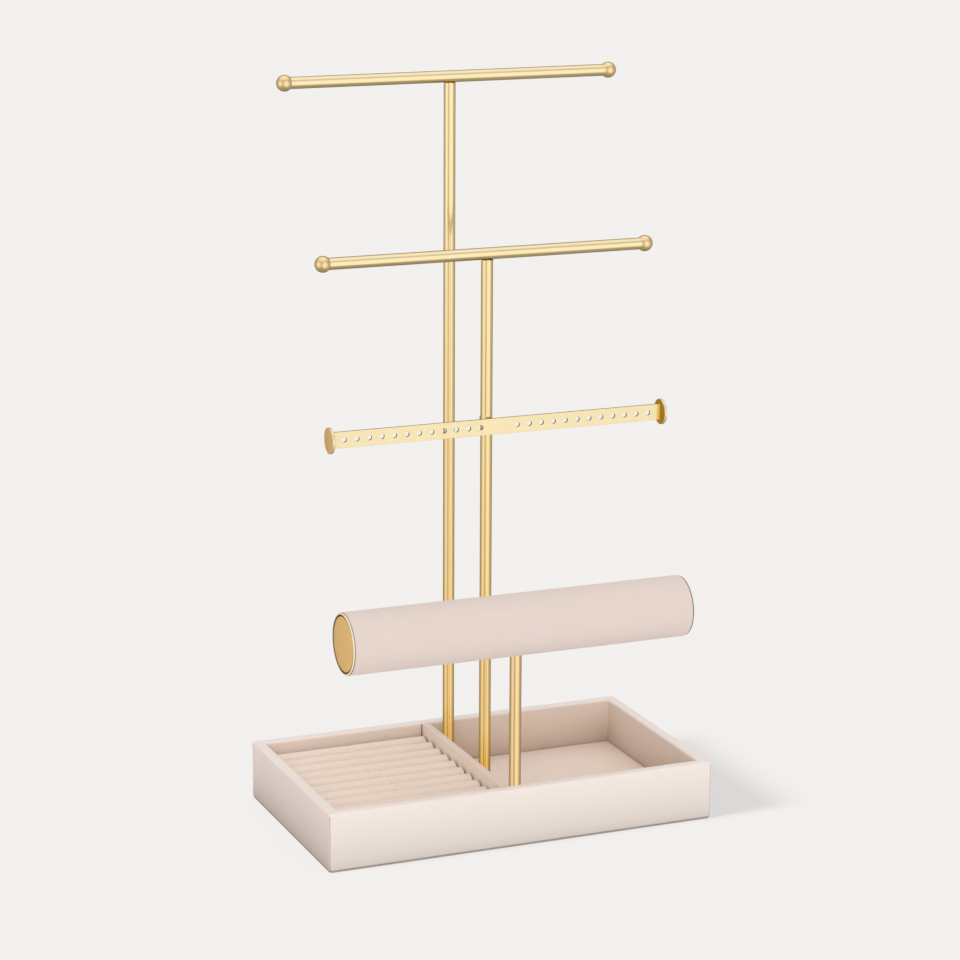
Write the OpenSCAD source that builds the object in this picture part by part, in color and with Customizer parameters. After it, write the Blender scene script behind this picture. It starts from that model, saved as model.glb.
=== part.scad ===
// Jewellery stand: two T-bars, an earring strip and a bracelet roll on three round posts,
// standing in a low velvet-covered tray with a lift-out ring cushion.
// Millimetres. X runs along the bars, -Y is the front, +Z is up.
// The origin is the middle of the tray's underside.

/* [Tray] */
// Outside width of the tray
tray_w = 280; // [240:1:340]
// Outside depth of the tray, front to back
tray_d = 160; // [152:1:200]
// Height of the rim above the table
tray_h = 41; // [34:1:60]
// Finished thickness of a wall, with velvet on both faces
wall_t = 8; // [6:0.5:12]
// Thickness of the velvet that is glued over board
velvet_t = 1; // [0.8:0.1:1.4]
// Radius of the rounded rim and of the upright corners
edge_r = 2; // [2:0.1:2.6]
// Thickness of the pad under the tray
pad_t = 2; // [1:0.5:4]
// How far the pad's edge is set in from the walls
pad_inset = 0.5; // [0:0.1:3]
// Thickness of the floor board
floor_t = 5; // [4:0.5:8]
// Thickness of the velvet-covered card in the open compartment
lining_t = 2.5; // [1.5:0.5:4]

/* [Divider] */
// Finished thickness of the divider, with velvet on both faces
divider_t = 5; // [4:0.5:7]
// Middle of the divider, left of the posts
divider_x = -12; // [-40:1:-9]

/* [Ring cushion] */
// Number of padded rolls, front to back
ring_roll_count = 10; // [8:1:12]
// How far the tops of the rolls lie below the rim
ring_drop = 6.5; // [4:0.5:12]
// Radius of the rolls' rounded ends
ring_end_r = 2; // [1:0.5:8]
// Thickness of the card that carries the rolls
ring_card_t = 1.5; // [1:0.5:3]
// Gap between two rolls
ring_roll_gap = 0.3; // [0.2:0.1:0.6]
// Clearance between the cushion and the walls around it
ring_fit_gap = 0.8; // [0.3:0.1:1.2]

/* [Posts] */
// Outside diameter of the post tube
post_d = 8; // [7:0.5:9]
// Wall thickness of the post tube
post_wall = 0.8; // [0.6:0.1:1.2]
// Distance from the back wall's inner face to the rear post's axis
rear_post_inset = 14; // [10:1:30]
// Place of the middle post's axis behind the tray's middle
middle_post_y = -9; // [-20:1:10]
// Distance from the front wall's inner face to the front post's axis
front_post_inset = 10; // [8:1:14]
// Length of the threaded plug in the foot of a post
foot_plug_l = 20; // [14:1:30]
// Length of the threaded plug in the head of a post
head_plug_l = 16; // [10:1:30]

/* [Bars] */
// Height of the upper bar's axis
upper_bar_z = 503.5; // [460:0.5:560]
// Height of the middle bar's axis
middle_bar_z = 393; // [340:0.5:430]
// Distance between the ball centres of the upper bar
upper_bar_span = 236; // [180:1:320]
// Distance between the ball centres of the middle bar
middle_bar_span = 232; // [180:1:320]
// Outside diameter of the bar tube
bar_d = 8; // [7:0.5:9]
// Wall thickness of the bar tube
bar_wall = 0.8; // [0.6:0.1:1.2]
// Diameter of the end balls
ball_d = 11; // [10:0.5:16]
// Length of a ball's spigot inside the tube
spigot_l = 8; // [4:1:16]

/* [Earring strip] */
// Height of the strip's middle
strip_z = 280; // [220:0.5:320]
// Height of the flat strip
strip_h = 11; // [9:0.5:16]
// Thickness of the flat strip
strip_t = 1.5; // [1:0.1:2.5]
// Distance between the middles of the end discs
strip_span = 240; // [228:1:280]
// Distance from the middle post's axis forward to the strip's mid-plane
strip_reach = 21.5; // [16:0.5:26]
// Diameter of the earring holes
hole_d = 3.5; // [2:0.1:4.5]
// Distance from one earring hole to the next
hole_pitch = 8.8; // [7:0.1:9]
// Number of holes on each side of the plain middle
holes_per_side = 12; // [4:1:12]
// Distance between the two innermost holes
plain_middle = 26.4; // [16:0.2:27]
// Diameter of the end discs
disc_d = 17.5; // [12:0.5:24]
// Thickness of the end discs
disc_t = 2; // [1:0.25:3]
// Bevel round both faces of an end disc
disc_bevel = 0.4; // [0.1:0.1:0.4]
// Diameter of the spacer that holds the strip off the post
spacer_d = 5; // [4.5:0.5:7]

/* [Bracelet roll] */
// Height of the roll's axis
bracelet_z = 150.5; // [110:0.5:180]
// Outside diameter of the velvet
bracelet_d = 42; // [40:0.5:60]
// Length over both end caps
bracelet_len = 246; // [160:1:300]
// Diameter of the end caps
cap_d = 41.5; // [38:0.5:46]
// Thickness of an end cap at its rim
cap_t = 1; // [1:0.1:3]
// Bevel round the outer face of an end cap
cap_bevel = 0.6; // [0.1:0.1:0.9]
// Height of the shallow dome on an end cap
cap_dome = 0.8; // [0.2:0.1:3]
// Outside diameter of the stiff core tube
core_d = 36; // [30:0.5:37]
// Wall thickness of the core tube
core_wall = 2; // [1:0.5:4]
// Length of the wooden block inside the core
block_l = 24; // [16:1:60]
// Length of the plugs that carry the end caps
cap_plug_l = 10; // [5:1:20]

/* [Screws] */
// Thread diameter of the post screws and studs
thread_d = 4; // [3:0.5:4]
// Length of a foot screw's shank
foot_screw_l = 16; // [12:1:18]
// Head diameter of a foot screw
screw_head_d = 8; // [7:0.5:9]
// Head height of a foot screw
screw_head_h = 2.2; // [1.6:0.1:2.4]
// Outside diameter of a washer
washer_d = 10; // [9:0.5:11]
// Thickness of a washer
washer_t = 0.8; // [0.5:0.1:1]
// Diameter of the recess round a foot screw
recess_d = 12; // [11.5:0.5:16]
// Depth of the recess in the floor board
recess_h = 2.5; // [1.5:0.1:2.8]
// Bevel round a screw head
head_bevel = 0.6; // [0.2:0.1:0.8]
// Length of stud on the post's side of a joint, and inside the roll
stud_l = 12; // [8:1:14]
// How far a stud rises past a bar's underside
stud_in_bar = 1.6; // [1.3:0.1:2.4]
// How far the top of a head plug lies below its joint
head_plug_drop = 1; // [0.6:0.1:3]
// Thread diameter of the strip's screw
strip_thread_d = 3; // [2.5:0.5:3]
// Depth of the threaded hole in the spacer
strip_thread_l = 8; // [7:1:11]
// Length of the strip screw's shank
strip_screw_l = 14; // [11:1:14]
// Head diameter of the strip's screw
strip_head_d = 5.5; // [5:0.5:6.5]
// Head height of the strip's screw
strip_head_h = 2; // [1.5:0.1:3]
// Width across the flats of the hexagon sockets
socket_w = 2.5; // [1.5:0.5:3]
// Depth of the hexagon sockets
socket_h = 1.2; // [0.8:0.1:1.4]

/* [Fits] */
// Radial gap between a thread and its hole
thread_gap = 0.05; // [0.02:0.01:0.1]
// Radial gap between a plug and the tube round it
plug_gap = 0.05; // [0.02:0.01:0.1]
// Gap between a post's or spacer's end and the round part that it meets
saddle_gap = 0.05; // [0.02:0.01:0.1]
// Radial gap round a post or a screw that only passes through
pass_gap = 0.2; // [0.1:0.05:0.4]

/* [Hidden] */
$fn = 96;
// smallest overshoot of a cut past the face that it opens
cut = 1;

gold = "#e2ba66";
pale_gold = "#f0dba4";
steel = "#b9bcc0";
velvet = "#e6d8cf";
shade_velvet = "#d8c4b7";
board = "#c9a77c";
card = "#d9d2c6";
foam = "#efe9dc";
pad = "#a79c94";

floor_z = pad_t + floor_t;
lining_z = floor_z + lining_t;
inner_w = tray_w - 2 * wall_t;
inner_d = tray_d - 2 * wall_t;
board_t = wall_t - 2 * velvet_t;
board_h = tray_h - velvet_t - pad_t;
floor_w = inner_w + 2 * velvet_t;
floor_d = inner_d + 2 * velvet_t;
divider_left_x = divider_x - divider_t / 2;
divider_right_x = divider_x + divider_t / 2;

rear_post_y = inner_d / 2 - rear_post_inset;
front_post_y = -inner_d / 2 + front_post_inset;
post_ys = [rear_post_y, middle_post_y, front_post_y];
post_bore = post_d - 2 * post_wall;
bar_bore = bar_d - 2 * bar_wall;
plug_d = post_bore - 2 * plug_gap;
thread_hole_d = thread_d + 2 * thread_gap;
pass_hole_d = post_d + 2 * pass_gap;
washer_z = pad_t + recess_h - washer_t;

ring_left_x = -inner_w / 2 + ring_fit_gap;
ring_w = divider_left_x - ring_fit_gap - ring_left_x;
ring_x = ring_left_x + ring_w / 2;
ring_d = inner_d - 2 * ring_fit_gap;
ring_roll_w = (ring_d - (ring_roll_count - 1) * ring_roll_gap) / ring_roll_count;
ring_roll_z = floor_z + ring_card_t;
ring_roll_h = tray_h - ring_drop - ring_roll_z;

ball_seat = sqrt(pow(ball_d / 2, 2) - pow(bar_d / 2, 2));
upper_bar_l = upper_bar_span - 2 * ball_seat;
middle_bar_l = middle_bar_span - 2 * ball_seat;

strip_y = middle_post_y - strip_reach;
strip_back_y = strip_y + strip_t / 2;
strip_l = strip_span - disc_t;
strip_hole_xs = [for (side = [-1, 1], i = [0:holes_per_side - 1])
    side * (plain_middle / 2 + i * hole_pitch)];
spacer_thread_d = strip_thread_d + 2 * thread_gap;
strip_pass_d = strip_thread_d + 2 * pass_gap;
strip_head_y = middle_post_y + post_d / 2 + saddle_gap;

roll_l = bracelet_len - 2 * cap_t;
core_bore = core_d - 2 * core_wall;
core_plug_d = core_bore - 2 * plug_gap;
cap_face_r = cap_d / 2 - cap_bevel;
cap_dome_steps = 8;
cap_dome_rs = [for (i = [0:cap_dome_steps]) cap_face_r * (1 - i / cap_dome_steps)];

// ---------- shared shapes ----------

// a box that is centred in X and Y and stands on z
module slab(w, d, h, z) {
    translate([-w / 2, -d / 2, z]) cube([w, d, h]);
}

// a cylinder along X, centred on the origin
module rod_x(d, l) {
    rotate([0, 90, 0]) cylinder(d = d, h = l, center = true);
}

// a cylinder along Y that starts at y and runs back
module rod_y(d, l, y) {
    translate([0, y, 0]) rotate([-90, 0, 0]) cylinder(d = d, h = l);
}

// a tube from z0 up to z1
module pipe_z(d, wall, z0, z1) {
    translate([0, 0, z0]) difference() {
        cylinder(d = d, h = z1 - z0);
        translate([0, 0, -cut]) cylinder(d = d - 2 * wall, h = z1 - z0 + 2 * cut);
    }
}

// an outline with rounded upper corners, standing on the first axis
module round_top(w, h, r) {
    translate([-w / 2, 0]) square([w, h - r]);
    translate([-w / 2 + r, 0]) square([w - 2 * r, h]);
    for (side = [-1, 1]) translate([side * (w / 2 - r), h - r]) circle(r = r);
}

// a rectangle with all four corners rounded
module round_plan(w, d, r) {
    square([w - 2 * r, d], center = true);
    square([w, d - 2 * r], center = true);
    for (x = [-1, 1], y = [-1, 1]) translate([x * (w / 2 - r), y * (d / 2 - r)]) circle(r = r);
}

// a threaded plug for the inside of a post, from z up
module thread_plug(y, l, z) {
    translate([0, y, z]) difference() {
        cylinder(d = plug_d, h = l);
        translate([0, 0, -cut]) cylinder(d = thread_hole_d, h = l + 2 * cut);
    }
}

// a stud of length stud_l to each side of the height z
module joint_stud(y, z, up) {
    translate([0, y, z - stud_l]) cylinder(d = thread_d, h = stud_l + up);
}

// a pan head with a hexagon socket; the head hangs below the origin and the shank rises
module pan_screw(d, l, head_d, head_h) {
    cylinder(d = d, h = l);
    translate([0, 0, -head_h]) difference() {
        union() {
            translate([0, 0, head_bevel]) cylinder(d = head_d, h = head_h - head_bevel);
            cylinder(d1 = head_d - 2 * head_bevel, d2 = head_d, h = head_bevel);
        }
        translate([0, 0, -cut])
            cylinder(d = socket_w / cos(30), h = socket_h + cut, $fn = 6);
    }
}

// ---------- tray ----------

module base_pad() {
    color(pad) difference() {
        linear_extrude(pad_t)
            round_plan(tray_w - 2 * pad_inset, tray_d - 2 * pad_inset, edge_r);
        for (y = post_ys) translate([0, y, -cut]) cylinder(d = recess_d, h = pad_t + 2 * cut);
    }
}

module floor_board() {
    color(board) difference() {
        slab(floor_w, floor_d, floor_t, pad_t);
        for (y = post_ys) {
            translate([0, y, 0]) cylinder(d = thread_d + 2 * pass_gap, h = floor_z + cut);
            translate([0, y, 0]) cylinder(d = recess_d, h = pad_t + recess_h);
        }
    }
}

module long_board(side) {
    y = side * (tray_d / 2 - wall_t / 2);
    color(board) translate([0, y, 0]) slab(tray_w - 2 * velvet_t, board_t, board_h, pad_t);
}

module short_board(side) {
    x = side * (tray_w / 2 - wall_t / 2);
    color(board) translate([x, 0, 0]) slab(board_t, floor_d, board_h, pad_t);
}

module front_board() { long_board(-1); }
module back_board() { long_board(1); }
module left_board() { short_board(-1); }
module right_board() { short_board(1); }

// one wall's outline with its rounded rim, run along X
module wall_bar(l) {
    rotate([90, 0, 90]) translate([0, pad_t])
        linear_extrude(l, center = true) round_top(wall_t, tray_h - pad_t, edge_r);
}

module tray_cover() {
    color(velvet) difference() {
        intersection() {
            linear_extrude(tray_h + cut) round_plan(tray_w, tray_d, edge_r);
            union() {
                for (s = [-1, 1]) translate([0, s * (tray_d - wall_t) / 2, 0]) wall_bar(tray_w);
                for (s = [-1, 1]) translate([s * (tray_w - wall_t) / 2, 0, 0])
                    rotate([0, 0, 90]) wall_bar(tray_d);
            }
        }
        for (s = [-1, 1]) {
            translate([0, s * (tray_d - wall_t) / 2, 0])
                slab(tray_w - 2 * velvet_t, board_t, board_h + cut, pad_t - cut);
            translate([s * (tray_w - wall_t) / 2, 0, 0])
                slab(board_t, tray_d - 2 * velvet_t, board_h + cut, pad_t - cut);
        }
        slab(floor_w, floor_d, floor_t + cut, pad_t - cut);
    }
}

module divider_board() {
    color(board) translate([divider_x, 0, 0])
        slab(divider_t - 2 * velvet_t, inner_d, tray_h - velvet_t - floor_z, floor_z);
}

module divider_cover() {
    color(velvet) translate([divider_x, 0, 0]) difference() {
        rotate([90, 0, 0]) translate([0, floor_z])
            linear_extrude(inner_d, center = true)
            round_top(divider_t, tray_h - floor_z, divider_t / 2 - velvet_t / 2);
        slab(divider_t - 2 * velvet_t, inner_d + 2 * cut, tray_h - velvet_t - floor_z + cut,
            floor_z - cut);
    }
}

module compartment_lining() {
    w = inner_w / 2 - divider_right_x;
    color(shade_velvet) difference() {
        translate([divider_right_x + w / 2, 0, 0]) slab(w, inner_d, lining_t, floor_z);
        for (y = post_ys) translate([0, y, 0]) cylinder(d = pass_hole_d, h = lining_z + cut);
    }
}

// ---------- lift-out ring cushion ----------

module ring_card() {
    color(card) translate([ring_x, 0, 0]) slab(ring_w, ring_d, ring_card_t, floor_z);
}

// a strip of foam in velvet: round on top, with both ends rounded down
module ring_roll(i) {
    y = -ring_d / 2 + ring_roll_w / 2 + (i - 1) * (ring_roll_w + ring_roll_gap);
    color(velvet) translate([ring_x, y, ring_roll_z]) intersection() {
        rotate([90, 0, 90]) linear_extrude(ring_w, center = true) {
            translate([-ring_roll_w / 2, 0]) square([ring_roll_w, ring_roll_h - ring_roll_w / 2]);
            translate([0, ring_roll_h - ring_roll_w / 2]) circle(d = ring_roll_w);
        }
        rotate([90, 0, 0]) linear_extrude(ring_roll_w + cut, center = true)
            round_top(ring_w, ring_roll_h, ring_end_r);
    }
}

// ---------- posts ----------

// a post with a flat head at height z
module flat_post(y, z) {
    translate([0, y, 0]) pipe_z(post_d, post_wall, floor_z, z);
}

// a post whose flat head lies under the bar at height z
module bar_post(y, z) { flat_post(y, z - bar_d / 2 - saddle_gap); }

module rear_post() { color(gold) bar_post(rear_post_y, upper_bar_z); }

module middle_post() {
    color(gold) difference() {
        bar_post(middle_post_y, middle_bar_z);
        translate([0, 0, strip_z])
            rod_y(strip_pass_d, post_d + 2 * cut, middle_post_y - post_d / 2 - cut);
    }
}

// its head is coped to the roll's core
module front_post() {
    color(gold) difference() {
        flat_post(front_post_y, bracelet_z);
        at_roll() rod_x(core_d + 2 * saddle_gap, post_d + 2 * cut);
    }
}

module rear_foot_plug() { color(steel) thread_plug(rear_post_y, foot_plug_l, floor_z); }
module middle_foot_plug() { color(steel) thread_plug(middle_post_y, foot_plug_l, floor_z); }
module front_foot_plug() { color(steel) thread_plug(front_post_y, foot_plug_l, floor_z); }

module foot_washers() {
    color(steel) for (y = post_ys) translate([0, y, 0])
        pipe_z(washer_d, (washer_d - thread_d) / 2 - pass_gap, washer_z, washer_z + washer_t);
}

module foot_screws() {
    color(steel) for (y = post_ys) translate([0, y, washer_z])
        pan_screw(thread_d, foot_screw_l, screw_head_d, screw_head_h);
}

// the plug's top lies just under the lowest point of what rests on the post
module head_plug(y, z) {
    color(steel) thread_plug(y, head_plug_l, z - head_plug_drop - head_plug_l);
}

module rear_head_plug() { head_plug(rear_post_y, upper_bar_z - bar_d / 2); }
module middle_head_plug() { head_plug(middle_post_y, middle_bar_z - bar_d / 2); }
module front_head_plug() { head_plug(front_post_y, bracelet_z - core_d / 2); }

// ---------- T-bars ----------

// a tube along X with a hole in its underside for the stud
module t_bar(y, z, l) {
    color(gold) translate([0, y, z]) difference() {
        rod_x(bar_d, l);
        rod_x(bar_bore, l + 2 * cut);
        translate([0, 0, -bar_d]) cylinder(d = thread_hole_d, h = bar_d);
    }
}

// an end ball, cut flat where the tube meets it, with a spigot inside the tube
module end_ball(y, z, span, side) {
    color(gold) translate([side * span / 2, y, z]) rotate([0, -side * 90, 0]) rotate_extrude() {
        intersection() {
            circle(d = ball_d);
            translate([0, -ball_d / 2]) square([ball_d / 2, ball_d / 2 + ball_seat]);
        }
        square([bar_bore / 2 - plug_gap, ball_seat + spigot_l]);
    }
}

module upper_bar() { t_bar(rear_post_y, upper_bar_z, upper_bar_l); }
module upper_left_ball() { end_ball(rear_post_y, upper_bar_z, upper_bar_span, -1); }
module upper_right_ball() { end_ball(rear_post_y, upper_bar_z, upper_bar_span, 1); }
module middle_bar() { t_bar(middle_post_y, middle_bar_z, middle_bar_l); }
module middle_left_ball() { end_ball(middle_post_y, middle_bar_z, middle_bar_span, -1); }
module middle_right_ball() { end_ball(middle_post_y, middle_bar_z, middle_bar_span, 1); }

module upper_bar_stud() {
    color(steel) joint_stud(rear_post_y, upper_bar_z - bar_d / 2, stud_in_bar);
}

module middle_bar_stud() {
    color(steel) joint_stud(middle_post_y, middle_bar_z - bar_d / 2, stud_in_bar);
}

// ---------- earring strip ----------

module earring_strip() {
    color(pale_gold) translate([0, strip_y, strip_z]) difference() {
        cube([strip_l, strip_t, strip_h], center = true);
        for (x = strip_hole_xs) translate([x, 0, 0]) rod_y(hole_d, strip_t + 2 * cut, -strip_t - cut);
    }
}

// a disc square to the strip's end, with a small bevel round both faces
module strip_disc(side) {
    r = disc_d / 2;
    color(gold) translate([side * strip_span / 2, strip_y, strip_z]) rotate([0, 90, 0])
        rotate_extrude() polygon([
            [0, -disc_t / 2], [r - disc_bevel, -disc_t / 2], [r, -disc_t / 2 + disc_bevel],
            [r, disc_t / 2 - disc_bevel], [r - disc_bevel, disc_t / 2], [0, disc_t / 2]]);
}

module strip_left_disc() { strip_disc(-1); }
module strip_right_disc() { strip_disc(1); }

// a round spacer, brazed to the strip's back and coped to the post
module strip_spacer() {
    l = middle_post_y - strip_back_y;
    color(gold) difference() {
        translate([0, 0, strip_z]) rod_y(spacer_d, l, strip_back_y);
        translate([0, middle_post_y, strip_z - spacer_d])
            cylinder(d = post_d + 2 * saddle_gap, h = 2 * spacer_d);
        translate([0, 0, strip_z])
            rod_y(spacer_thread_d, l, middle_post_y - post_d / 2 - strip_thread_l);
    }
}

module strip_screw() {
    color(steel) translate([0, strip_head_y, strip_z]) rotate([90, 0, 0])
        pan_screw(strip_thread_d, strip_screw_l, strip_head_d, strip_head_h);
}

// ---------- bracelet roll ----------

module at_roll() { translate([0, front_post_y, bracelet_z]) children(); }

// everything round the core is drilled from below for the post
module post_hole() {
    translate([0, 0, -bracelet_d]) cylinder(d = pass_hole_d, h = bracelet_d);
}

module roll_core() {
    color(card) at_roll() difference() {
        rod_x(core_d, roll_l);
        rod_x(core_bore, roll_l + 2 * cut);
        translate([0, 0, -core_d]) cylinder(d = thread_hole_d, h = core_d);
    }
}

module roll_block() {
    color(board) at_roll() difference() {
        rod_x(core_plug_d, block_l);
        translate([0, 0, -core_d])
            cylinder(d = thread_hole_d, h = core_d / 2 + stud_l + cut);
    }
}

module roll_stud() {
    color(steel) joint_stud(front_post_y, bracelet_z - core_d / 2, stud_l);
}

module roll_foam() {
    color(foam) at_roll() difference() {
        rod_x(bracelet_d - 2 * velvet_t - 2 * plug_gap, roll_l);
        rod_x(core_d + 2 * plug_gap, roll_l + 2 * cut);
        post_hole();
    }
}

// the velvet sleeve, with its outer edges rounded at both ends
module roll_cover() {
    r = bracelet_d / 2;
    color(velvet) at_roll() difference() {
        rotate([0, 90, 0]) rotate_extrude() translate([r - velvet_t, 0]) intersection() {
            translate([0, -roll_l / 2]) square([velvet_t, roll_l]);
            union() {
                translate([0, -roll_l / 2 + velvet_t]) square([velvet_t, roll_l - 2 * velvet_t]);
                for (s = [-1, 1]) translate([0, s * (roll_l / 2 - velvet_t)]) circle(r = velvet_t);
            }
        }
        post_hole();
    }
}

// a pressed cap: a rim with a bevel and a shallow dome inside it
module roll_cap(side) {
    r = cap_d / 2;
    dome = [for (x = cap_dome_rs) [x, cap_t + cap_dome * (1 - pow(x / cap_face_r, 2))]];
    color(gold) at_roll() translate([side * roll_l / 2, 0, 0]) rotate([0, side * 90, 0])
        rotate_extrude() polygon(concat([[0, 0], [r, 0], [r, cap_t - cap_bevel]], dome));
}

module roll_left_cap() { roll_cap(-1); }
module roll_right_cap() { roll_cap(1); }

module roll_plug(side) {
    color(board) at_roll() translate([side * (roll_l - cap_plug_l) / 2, 0, 0])
        rod_x(core_plug_d, cap_plug_l);
}

module roll_left_plug() { roll_plug(-1); }
module roll_right_plug() { roll_plug(1); }

base_pad();
floor_board();
front_board();
back_board();
left_board();
right_board();
tray_cover();
divider_board();
divider_cover();
compartment_lining();
ring_card();
for (i = [1:ring_roll_count])
    ring_roll(i);
rear_post();
middle_post();
front_post();
rear_foot_plug();
middle_foot_plug();
front_foot_plug();
foot_washers();
foot_screws();
rear_head_plug();
middle_head_plug();
front_head_plug();
upper_bar();
upper_left_ball();
upper_right_ball();
upper_bar_stud();
middle_bar();
middle_left_ball();
middle_right_ball();
middle_bar_stud();
earring_strip();
strip_left_disc();
strip_right_disc();
strip_spacer();
strip_screw();
roll_core();
roll_block();
roll_stud();
roll_foam();
roll_cover();
roll_left_cap();
roll_right_cap();
roll_left_plug();
roll_right_plug();
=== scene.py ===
import math

import bmesh
import bpy
from mathutils import Euler, Matrix, Vector, noise


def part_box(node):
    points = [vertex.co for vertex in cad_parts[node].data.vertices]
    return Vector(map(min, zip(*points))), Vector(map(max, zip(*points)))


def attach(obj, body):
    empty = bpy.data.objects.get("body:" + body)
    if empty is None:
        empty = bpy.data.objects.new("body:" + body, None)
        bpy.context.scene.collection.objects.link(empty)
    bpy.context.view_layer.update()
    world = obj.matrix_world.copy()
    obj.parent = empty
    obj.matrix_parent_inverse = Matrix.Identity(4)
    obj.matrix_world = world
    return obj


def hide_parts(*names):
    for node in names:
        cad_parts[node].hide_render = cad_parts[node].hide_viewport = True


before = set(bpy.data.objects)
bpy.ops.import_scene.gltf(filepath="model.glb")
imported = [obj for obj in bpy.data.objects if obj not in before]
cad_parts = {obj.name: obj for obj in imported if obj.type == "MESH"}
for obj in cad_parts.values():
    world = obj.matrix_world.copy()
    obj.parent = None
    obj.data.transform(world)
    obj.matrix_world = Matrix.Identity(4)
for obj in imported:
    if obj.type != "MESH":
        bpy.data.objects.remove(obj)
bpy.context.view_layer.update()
MM = 0.001
scene = bpy.context.scene
scene.view_settings.view_transform = "Standard"


# ---------- Viewpoint ----------
# The camera stands front left of the stand and a little above it, as it did for the photo. Its
# place, turn and lens were solved from measured corners of the tray and ends of the bars.
photo_size = 960
photo_focal_px = 3035.4
photo_azimuth = math.radians(-22.684)
photo_elevation = math.radians(13.973)
photo_roll = math.radians(0.268)

lens = bpy.data.cameras.new("photo_camera")
lens.sensor_width = 36.0
lens.lens = photo_focal_px / photo_size * lens.sensor_width
camera = bpy.data.objects.new("photo_camera", lens)
scene.collection.objects.link(camera)
look = Euler((math.pi / 2 - photo_elevation, 0, photo_azimuth)).to_matrix()
turn = look @ Matrix.Rotation(photo_roll, 3, "Z")
camera_place = Vector((-773.4, -1848.8, 734.3)) * MM
camera.matrix_world = Matrix.Translation(camera_place) @ turn.to_4x4()
scene.camera = camera


# ---------- Table and studio light ----------
# The stand is on a white laminate table in a pale room, under one large soft light from the front.
# A second light from the left draws only the tray's shadow on the table.
def linear(hex_colour):
    """Turns an sRGB hex colour into linear red, green, blue and an alpha of 1."""
    parts = [int(hex_colour[i:i + 2], 16) / 255 for i in (1, 3, 5)]
    return [c / 12.92 if c <= 0.04045 else ((c + 0.055) / 1.055) ** 2.4 for c in parts] + [1.0]


def add_node(tree, kind, settings=None, links=None):
    """Adds a shader node, sets its properties and constants, and joins sockets to its inputs."""
    node = tree.nodes.new("ShaderNode" + kind)
    for name, value in (settings or {}).items():
        if isinstance(name, int) or name in node.inputs:
            node.inputs[name].default_value = value
        else:
            setattr(node, name, value)
    for name, socket in (links or {}).items():
        tree.links.new(socket, node.inputs[name])
    return node


def new_material(name):
    """An empty node material, as its tree and its output node."""
    material = bpy.data.materials.new(name)
    material.use_nodes = True
    material.node_tree.nodes.clear()
    return material, material.node_tree, add_node(material.node_tree, "OutputMaterial")


room = bpy.data.worlds.new("pale_room")
room.use_nodes = True
tree = room.node_tree
tree.nodes.clear()
ray = add_node(tree, "LightPath").outputs
direction = add_node(tree, "TexCoord").outputs["Generated"]
height = add_node(tree, "SeparateXYZ", {}, {"Vector": direction}).outputs["Z"]

# What metal sees: a room that is dim below, with a soft panel in front and one on the left, a
# bright, slightly cool ceiling, and a dark place behind the stand. Each panel is (middle, cosine at
# its edge, cosine where it is full, strength).
panels = [
    ((0.18, -0.98, -0.08), 0.63, 0.94, 0.60),
    ((-0.98, -0.19, 0.0), 0.75, 1.0, 0.58),
    ((0.0, 0.1, 0.995), 0.49, 0.98, 0.54),
    ((0.375, 0.905, -0.2), 0.79, 0.97, -0.37),
]
level = add_node(tree, "MapRange",
                 {"From Min": -0.95, "From Max": -0.50, "To Min": 0.36, "To Max": 0.54},
                 {"Value": height}).outputs["Result"]
for middle, edge, full, strength in panels:
    near = add_node(tree, "VectorMath", {"operation": "DOT_PRODUCT", 1: middle}, {0: direction})
    panel = add_node(tree, "MapRange",
                     {"interpolation_type": "SMOOTHSTEP", "From Min": edge, "From Max": full,
                      "To Max": strength}, {"Value": near.outputs["Value"]}).outputs["Result"]
    level = add_node(tree, "Math", {"operation": "ADD"}, {0: level, 1: panel}).outputs[0]
green = add_node(tree, "MapRange", {"To Min": 1.0, "To Max": 1.05},
                 {"Value": height}).outputs["Result"]
blue = add_node(tree, "MapRange", {"To Min": 1.0, "To Max": 1.22},
                {"Value": height}).outputs["Result"]
cool = add_node(tree, "CombineColor", {"Red": 1.0}, {"Green": green, "Blue": blue}).outputs[0]
for_metal = add_node(tree, "Background", {}, {"Color": cool, "Strength": level})

# Cloth sees the same room as an even sky, brighter overhead and a little dimmer on the left.
sky = add_node(tree, "MapRange", {"To Min": 0.50, "To Max": 1.13},
               {"Value": height}).outputs["Result"]
left = add_node(tree, "VectorMath", {"operation": "DOT_PRODUCT", 1: (-0.95, 0.3, 0.0)},
                {0: direction}).outputs["Value"]
less = add_node(tree, "MapRange", {"To Min": 1.0, "To Max": 0.82},
                {"Value": left}).outputs["Result"]
dimmed = add_node(tree, "Math", {"operation": "MULTIPLY"}, {0: sky, 1: less}).outputs[0]
for_cloth = add_node(tree, "Background", {"Color": (1.0, 1.0, 1.0, 1.0)}, {"Strength": dimmed})
pale = "#f3f1ef"
for_camera = add_node(tree, "Background", {"Color": linear(pale), "Strength": 1.0})
lit = add_node(tree, "MixShader", {}, {0: ray["Is Glossy Ray"], 1: for_cloth.outputs[0],
                                       2: for_metal.outputs[0]})
seen = add_node(tree, "Math", {"operation": "MAXIMUM"},
                {0: ray["Is Camera Ray"], 1: ray["Is Transmission Ray"]})
whole = add_node(tree, "MixShader", {}, {0: seen.outputs[0], 1: lit.outputs[0],
                                         2: for_camera.outputs[0]})
add_node(tree, "OutputWorld", {}, {"Surface": whole.outputs[0]})
scene.world = room


def sun(name, energy, spread, toward):
    """A far soft light that shines toward a direction; metal shows the room, not the lamp."""
    lamp = bpy.data.lights.new(name, "SUN")
    lamp.energy = energy
    lamp.angle = math.radians(spread)
    light = bpy.data.objects.new(name, lamp)
    light.rotation_euler = Vector(toward).to_track_quat("-Z", "Y").to_euler()
    light.visible_glossy = False
    scene.collection.objects.link(light)
    return light


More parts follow.
